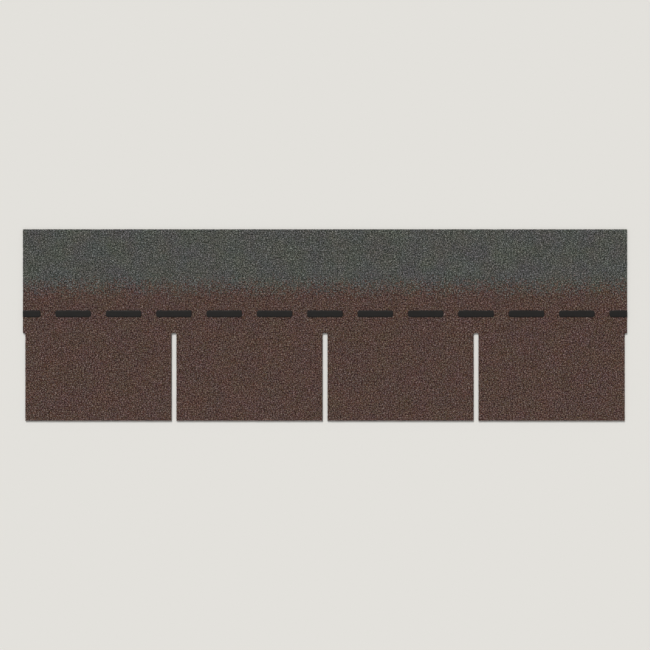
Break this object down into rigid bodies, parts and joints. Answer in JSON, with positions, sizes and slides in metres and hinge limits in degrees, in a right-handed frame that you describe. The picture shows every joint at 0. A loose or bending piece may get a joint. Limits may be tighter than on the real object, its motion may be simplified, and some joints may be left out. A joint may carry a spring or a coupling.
{
  "type": "asphalt shingle",
  "caption": "Flat granule-surfaced roofing strip with square-cut tabs, narrow cut-outs and dashes of sealant; nailed in overlapping courses to cover a pitched roof.",
  "frame": {"origin": "centre of the strip's length and depth, on its underside", "axes": "+X along the strip, +Y from the tabs' butt edge up the roof slope to the top edge, +Z out of the weather side"},
  "size_m": [1, 0.317, 0.0036],
  "materials": {
    "granulated_sheet": "matte",
    "bitumen_sealant": "satin"
  },
  "bodies": {
    "root": {"shingle_strip": "granulated_sheet", "sealant_dashes": "bitumen_sealant"}
  },
  "joints": []
}
